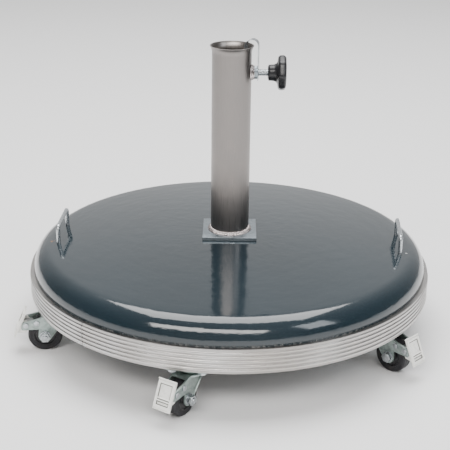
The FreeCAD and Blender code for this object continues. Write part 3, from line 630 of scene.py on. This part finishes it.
class PARASOL_OT_strip(Piece, bpy.types.Operator):
    """Sprung guard strip, bent over the lip and resting free in the mouth"""

    bl_idname = "parasol.strip"
    bl_label = "Guard strip"

    def build(self):
        outer, inner, crown = 38.0, 20.2, 441.1
        middle, reach = (outer + inner) / 2, (outer - inner) / 2
        bend = [(middle + reach * math.cos(a), crown - reach + reach * math.sin(a))
                for a in [math.pi * i / 14 for i in range(15)]]
        path = [(outer, 382), (outer, 398), (outer, 416)] + bend
        path += [(20.9, 424), (22.4, 414), (24.0, 405), (25.2, 398)]
        half, lean, twist = sizes().strip_width / 2, math.radians(-9), math.radians(2.2)
        straight_steps = 8
        across = Vector((-math.sin(lean), math.cos(lean), 0)) * half
        foot = Vector((path[0][0] * MM, 0, path[0][1] * MM))
        strip = drawn("guard_strip_sprung", [foot - across, foot, foot + across])
        here = foot
        for number, (x, z) in enumerate(path[1:], start=1):
            there = Vector((x * MM, 0, z * MM))
            bpy.ops.mesh.extrude_region_move(TRANSFORM_OT_translate={"value": there - here})
            if number > straight_steps:
                bpy.ops.transform.rotate(value=twist, orient_axis="Z", center_override=there)
            here = there
        bpy.ops.mesh.select_all(action="SELECT")
        bpy.ops.mesh.normals_make_consistent(inside=False)
        bpy.ops.object.mode_set(mode="OBJECT")
        modified(strip, "SOLIDIFY", thickness=sizes().strip_sheet, offset=0)
        pierced(strip, outer * MM, 0.006, SCREW_HEIGHT)
        modified(strip, "BEVEL", width=0.00018, segments=2, limit_method="ANGLE")
        fitted(smoothed(strip, 40), "base", ["guard_strip"], "zinc")


class PARASOL_OT_clamp(Piece, bpy.types.Operator):
    """Clamp screw, its welded nut and the lobed knob"""

    bl_idname = "parasol.clamp"
    bl_label = "Clamp"

    def build(self):
        up = SCREW_HEIGHT
        pitch = sizes().thread_pitch
        tip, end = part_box("clamp_screw")[0][0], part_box("clamp_screw")[1][0]
        core = [(tip, 0.0), (tip, 0.0034), (tip + 0.0012, 0.0043), (end - 0.0006, 0.0043),
                (end, 0.0037), (end, 0.0)]
        stud = turned("clamp_stud_core", [(x, 0, up + r) for x, r in core],
                      centre=(0, 0, up), axis=(1, 0, 0), steps=48)
        fitted(smoothed(stud), "clamp_screw", ["clamp_screw"], "zinc")
        first, root, crest = tip + 0.0014, 0.0041, 0.0049
        flank = [(first, root), (first + pitch * 0.42, crest), (first + pitch * 0.58, crest),
                 (first + pitch, root)]
        thread = drawn("clamp_stud_thread", [(x, 0, up + r) for x, r in flank])
        bpy.ops.object.mode_set(mode="OBJECT")
        settled(thread, None, Matrix.Translation((0, 0, -up)))
        turns = int((end - tip - 0.003) / pitch)
        modified(thread, "SCREW", axis="X", angle=math.tau, screw_offset=pitch,
                 iterations=turns, steps=40, render_steps=40, use_merge_vertices=True,
                 use_normal_calculate=True)
        settled(thread, None, Matrix.Translation((0, 0, up)))
        fitted(smoothed(thread, 50), "clamp_screw", [], "zinc")
        fitted(eased("clamp_nut", "clamp_nut_hex", width=0.0005), "base",
               ["clamp_nut"], "worn_zinc")
        bead = rippled(eased("clamp_nut_weld", "clamp_nut_bead", width=0.0), 0.003, 0.0004)
        fitted(smoothed(bead, 60), "base", ["clamp_nut_weld"], "weld")
        self.knob(up)

    def knob(self, up):
        """Waisted hub and rounded disc, turned in one, then pressed in between the lobes."""
        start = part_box("clamp_knob")[0][0]
        hub = [(start, 0.0), (start, 0.0112), (start + 0.0008, 0.0120), (start + 0.005, 0.0115),
               (start + 0.009, 0.0114), (start + 0.0125, 0.0128), (start + 0.0145, 0.0155)]
        face, end, rim, round_over = start + 0.0145, start + 0.0265, 0.0254, 0.0048
        disc = []
        for near, first in ((face + round_over, math.pi), (end - round_over, math.pi / 2)):
            for i in range(9):
                turn = first - math.pi / 2 * i / 8
                disc.append((near + round_over * math.cos(turn),
                             rim - round_over + round_over * math.sin(turn)))
        crown = [(end, 0.013), (end - 0.0006, 0.0085), (end - 0.0006, 0.0)]
        knob = turned("clamp_knob_moulded", [(x, 0, up + r) for x, r in hub + disc + crown],
                      centre=(0, 0, up), axis=(1, 0, 0), steps=144)
        lobes, grip_inside = 8, 0.0185
        for lobe in range(lobes):
            middle = (lobe + 0.5) * math.tau / lobes
            for width, press in ((0.30, 0.979), (0.20, 0.985), (0.11, 0.990)):
                only(knob)
                bpy.ops.object.mode_set(mode="EDIT")
                bpy.ops.mesh.select_all(action="DESELECT")
                bpy.ops.object.mode_set(mode="OBJECT")
                for vertex in knob.data.vertices:
                    x, y, z = vertex.co.x, vertex.co.y, vertex.co.z - up
                    off = math.remainder(math.atan2(y, z) - middle, math.tau)
                    vertex.select = (x > face - 0.0005 and math.hypot(y, z) > grip_inside
                                     and abs(off) < width)
                bpy.ops.object.mode_set(mode="EDIT")
                bpy.ops.transform.resize(value=(1, press, press), center_override=(0, 0, up))
                bpy.ops.object.mode_set(mode="OBJECT")
        modified(knob, "SMOOTH", factor=0.5, iterations=5)
        fitted(smoothed(knob, 70), "clamp_knob", ["clamp_knob"], "plastic")


class PARASOL_OT_handles(Piece, bpy.types.Operator):
    """Two lifting handles of round bar"""

    bl_idname = "parasol.handles"
    bl_label = "Handles"

    def build(self):
        for side in ("left", "right"):
            bar = eased(f"handle_{side}", f"handle_{side}_bar", width=0.0, angle=50)
            fitted(bar, "base", [f"handle_{side}"], "zinc")


class PARASOL_OT_forks(Piece, bpy.types.Operator):
    """Caster plates, forks with their flanged front edges, and fasteners"""

    bl_idname = "parasol.forks"
    bl_label = "Forks and plates"

    def build(self):
        turning = "caster_{}_swivel"
        on_each_caster(from_caster_one("caster_1_fork", "fork_pattern"), "fork_pressed",
                       turning, "caster_{}_fork", "pale_zinc")
        on_each_caster(from_caster_one("caster_1_fasteners", "fastener_pattern"),
                       "bolts_and_rivets", turning, "caster_{}_fasteners", "zinc")
        on_each_caster(from_caster_one("caster_1_spring", "spring_pattern", width=0.0001),
                       "leaf_spring", turning, "caster_{}_spring", "plain_steel")
        plates = caster_places(heading_from_axis=True)
        on_each_caster(from_caster_one("caster_1_plate", "plate_pattern", places=plates),
                       "mounting_plate", "base", "caster_{}_plate", "pale_zinc",
                       places=plates)
        on_each_caster(self.flanges(), "fork_flanges", turning, None, "pale_zinc")

    def flanges(self):
        """The front edges of both legs, turned outwards."""
        legs, leg_edge = [], 0.0116
        for side in (-1, 1):
            start = side * leg_edge
            edge = drawn(f"flange_{side}", [(-0.0124, start, 0.0552), (-0.0061, start, 0.0490),
                                            (0.0036, start, 0.0372), (0.0128, start, 0.0262)])
            bpy.ops.mesh.extrude_region_move(
                TRANSFORM_OT_translate={"value": (-0.0008, side * 0.0026, -0.0004)})
            bpy.ops.mesh.select_all(action="SELECT")
            bpy.ops.mesh.normals_make_consistent(inside=False)
            bpy.ops.object.mode_set(mode="OBJECT")
            modified(edge, "SOLIDIFY", thickness=0.0012, offset=0)
            modified(edge, "BEVEL", width=0.0003, segments=2, limit_method="ANGLE")
            legs.append(edge)
        only(legs[0])
        legs[1].select_set(True)
        bpy.ops.object.join()
        return smoothed(bpy.context.object)


class PARASOL_OT_pedals(Piece, bpy.types.Operator):
    """Brake pedals with a raised border, a recessed panel, two cross ribs and near-black strips
    of painted shadow
    """

    bl_idname = "parasol.pedals"
    bl_label = "Brake pedals"

    def build(self):
        on_each_caster(from_caster_one("caster_1_pedal", "pedal_pattern", width=0.0004),
                       "pedal_pressed", "caster_{}_brake", "caster_{}_pedal",
                       "pedal")
        on_each_caster(self.facing(), "pedal_facing", "caster_{}_brake", None,
                       None)

    def facing(self):
        """Border, cross ribs and near-black strips of painted shadow, laid on the sloping outer
        face.
        """
        low, high = Vector((0.0647, 0, 0.0270)), Vector((0.0500, 0, 0.0593))
        slope = (high - low).normalized()
        outward = Vector((slope.z, 0, -slope.x))
        length, width = (high - low).length, 0.0262
        rim = sizes().pedal_border
        border = self.frame_of("pedal_border", width, length, rim, 0.0013, 0.0, "pedal")
        inner = width - 2 * rim
        # A thin near-black frame just inside the border, a little beneath it: painted shadow in
        # the corners of the recess.
        parts = [border, self.frame_of("pedal_recess", inner, length - 2 * rim, 0.0011, 0.0002,
                                       -0.0005, "grime")]
        for along in (0.27, 0.36):
            at = (along - 0.5) * length
            only()
            bpy.ops.mesh.primitive_cylinder_add(
                radius=0.00095, depth=inner + 0.0006, vertices=20, location=(0, at, 0),
                rotation=(0, math.pi / 2, 0))
            rib = settled(bpy.context.object)
            parts.append(dressed(modified(rib, "BEVEL", width=0.0002, segments=2,
                                          limit_method="ANGLE"), "pedal"))
            # A near-black strip beside each rib, a little beneath it: painted shadow of the rib.
            only()
            bpy.ops.mesh.primitive_plane_add(size=1, location=(0, at - 0.0016, -0.0004))
            rib_shadow_strip = bpy.context.object
            rib_shadow_strip.scale = (inner, 0.0010, 1)
            parts.append(dressed(modified(settled(rib_shadow_strip), "SOLIDIFY", thickness=0.0002),
                                 "grime"))
        only(border)
        for part in parts:
            part.select_set(True)
        bpy.ops.object.join()
        place = Matrix((
            (0, slope.x, outward.x, 0), (-1, 0, 0, 0), (0, slope.z, outward.z, 0), (0, 0, 0, 1)))
        place.translation = (low + high) / 2 + outward * 0.0018
        return smoothed(settled(border, None, place))

    def frame_of(self, name, width, length, border, sheet, height, look):
        """A flat rectangular border, eased along its edges."""
        only()
        bpy.ops.mesh.primitive_plane_add(size=1, location=(0, 0, height))
        frame_piece = bpy.context.object
        frame_piece.scale = (width, length, 1)
        settled(frame_piece, name)
        bpy.ops.object.mode_set(mode="EDIT")
        bpy.ops.mesh.select_mode(type="FACE")
        bpy.ops.mesh.select_all(action="SELECT")
        bpy.ops.mesh.inset(thickness=border)
        bpy.ops.mesh.delete(type="FACE")
        bpy.ops.object.mode_set(mode="OBJECT")
        modified(frame_piece, "SOLIDIFY", thickness=sheet, offset=0)
        modified(frame_piece, "BEVEL", width=min(0.0004, sheet * 0.3), segments=3,
                 limit_method="ANGLE")
        return dressed(frame_piece, look)


class PARASOL_OT_wheels(Piece, bpy.types.Operator):
    """Solid tyres with rounded shoulders, on their moulded centres"""

    bl_idname = "parasol.wheels"
    bl_label = "Wheels"

    def build(self):
        half = [(17.0, 8.75), (19.0, 8.75), (19.2, 8.5), (20.2, 8.5), (20.4, 8.75), (22.0, 8.75)]
        half += [(22 + 3 * math.sin(a), 5.75 + 3 * math.cos(a))
                 for a in [math.pi / 12 * i for i in range(1, 7)]]
        half += [(25.0, 3.3), (24.6, 3.1), (24.6, 2.8), (25.0, 2.6)]
        section = half + [(r, -y) for r, y in reversed(half)] + half[:1]
        axle = (0.022, 0, 0.025)
        points = [(axle[0], y * MM, axle[2] + r * MM) for r, y in section]
        tyre = turned("tyre_pattern", points, centre=axle, axis=(0, 1, 0), steps=96)
        on_each_caster(smoothed(tyre, 40), "solid_tyre", "caster_{}_wheel", "caster_{}_tyre",
                       "rubber")
        on_each_caster(from_caster_one("caster_1_hub", "hub_pattern", width=0.0004),
                       "wheel_centre", "caster_{}_wheel", "caster_{}_hub", "plastic")


class PARASOL_OT_underside(Piece, bpy.types.Operator):
    """Ballast, floor plate, bolts, kingpins and swivel balls"""

    bl_idname = "parasol.underside"
    bl_label = "Underside"

    def build(self):
        carried("concrete_ballast", "concrete")
        carried("bottom_plate", "plain_steel")
        carried("caster_bolts", "zinc")
        carried("caster_kingpins", "zinc")
        carried("swivel_balls", "plain_steel")


class PARASOL_OT_stage(Piece, bpy.types.Operator):
    """Pale floor, soft studio light and the camera"""

    bl_idname = "parasol.stage"
    bl_label = "Stage"

    def build(self):
        only()
        bpy.ops.mesh.primitive_plane_add(size=24)
        floor = bpy.context.object
        floor.name = "studio_floor"
        shade = Finish("studio_floor", (0.92, 0.92, 0.92), 0.0, 0.9)
        floor.data.materials.append(shade.material)
        self.world()
        for name, place, width, depth, power, tint in (
                ("front_softbox", (-0.5, -2.3, 2.2), 3.2, 0.8, 84, (1.0, 0.97, 0.94)),
                ("side_softbox", (1.9, -1.5, 1.7), 0.8, 1.2, 16, (0.92, 0.96, 1.0)),
                ("top_softbox", (0.0, 0.7, 3.4), 3.4, 2.4, 190, (1.0, 1.0, 1.0))):
            self.softbox(name, Vector(place), width, depth, power, tint)
        self.camera()

    def world(self):
        world = bpy.data.worlds.new("studio_air")
        world.use_nodes = True
        tree = world.node_tree
        sky = tree.nodes["Background"]
        coords = tree.nodes.new("ShaderNodeTexCoord")
        parts = tree.nodes.new("ShaderNodeSeparateXYZ")
        tree.links.new(coords.outputs["Generated"], parts.inputs[0])
        sideways = tree.nodes.new("ShaderNodeMath")
        sideways.operation = "ABSOLUTE"
        tree.links.new(parts.outputs[0], sideways.inputs[0])
        both = tree.nodes.new("ShaderNodeMath")
        both.operation = "MULTIPLY"
        for slot, source, low, high, start, end in (
                (0, parts.outputs[1], -0.5, 0.5, 0.38, 0.85),
                (1, sideways.outputs[0], 0.3, 0.9, 1.0, 0.25)):
            ramp = tree.nodes.new("ShaderNodeMapRange")
            for name, value in (("From Min", low), ("From Max", high),
                                ("To Min", start), ("To Max", end)):
                ramp.inputs[name].default_value = value
            tree.links.new(source, ramp.inputs["Value"])
            tree.links.new(ramp.outputs[0], both.inputs[slot])
        tree.links.new(both.outputs[0], sky.inputs["Strength"])
        sky.inputs["Color"].default_value = (1, 1, 1, 1)
        bpy.context.scene.world = world

    def softbox(self, name, place, width, depth, power, tint):
        only()
        bpy.ops.object.light_add(type="AREA", location=place)
        lamp = bpy.context.object
        lamp.name = name
        lamp.rotation_euler = (Vector((0, 0, 0.1)) - place).to_track_quat("-Z", "Y").to_euler()
        lamp.data.shape = "RECTANGLE"
        lamp.data.size, lamp.data.size_y = width, depth
        lamp.data.energy = power
        lamp.data.color = tint

    def camera(self):
        down, turn, lean = 0.3692, -0.0045, 0.0120
        place, lens = (0, -1.54268, 0.75502), 87.65
        ahead = Vector((math.sin(turn) * math.cos(down), math.cos(turn) * math.cos(down),
                        -math.sin(down)))
        right = Vector((math.cos(turn), -math.sin(turn), 0))
        up = right.cross(ahead)
        right, up = (math.cos(lean) * right + math.sin(lean) * up,
                     math.cos(lean) * up - math.sin(lean) * right)
        only()
        bpy.ops.object.camera_add()
        camera = bpy.context.object
        camera.name = "studio_camera"
        camera.matrix_world = (Matrix.Translation(place)
                               @ Matrix((right, up, -ahead)).transposed().to_4x4())
        camera.data.sensor_width = 36
        camera.data.lens = lens
        bpy.context.scene.camera = camera


BUILDERS = (
    PARASOL_OT_dish, PARASOL_OT_band, PARASOL_OT_socket, PARASOL_OT_strip, PARASOL_OT_clamp,
    PARASOL_OT_handles, PARASOL_OT_forks, PARASOL_OT_pedals, PARASOL_OT_wheels,
    PARASOL_OT_underside, PARASOL_OT_stage,
)


class PARASOL_PT_panel(bpy.types.Panel):
    """The base's sizes, colours and pieces"""

    bl_idname = "PARASOL_PT_panel"
    bl_label = "Parasol base"
    bl_space_type = "VIEW_3D"
    bl_region_type = "UI"
    bl_category = "Parasol base"

    def draw(self, context):
        for group in (context.scene.parasol_sizes, context.scene.parasol_colours):
            column = self.layout.column(align=True)
            for name in type(group).__annotations__:
                column.prop(group, name)
        column = self.layout.column(align=True)
        for builder in BUILDERS:
            column.operator(builder.bl_idname)


def register():
    for kind in (ParasolSizes, ParasolColours, *BUILDERS, PARASOL_PT_panel):
        bpy.utils.register_class(kind)
    bpy.types.Scene.parasol_sizes = PointerProperty(type=ParasolSizes)
    bpy.types.Scene.parasol_colours = PointerProperty(type=ParasolColours)


def unregister():
    del bpy.types.Scene.parasol_colours
    del bpy.types.Scene.parasol_sizes
    for kind in reversed((ParasolSizes, ParasolColours, *BUILDERS, PARASOL_PT_panel)):
        bpy.utils.unregister_class(kind)


def main():
    register()
    for builder in BUILDERS:
        group, name = builder.bl_idname.split(".")
        getattr(getattr(bpy.ops, group), name)()


if __name__ == "__main__":
    main()
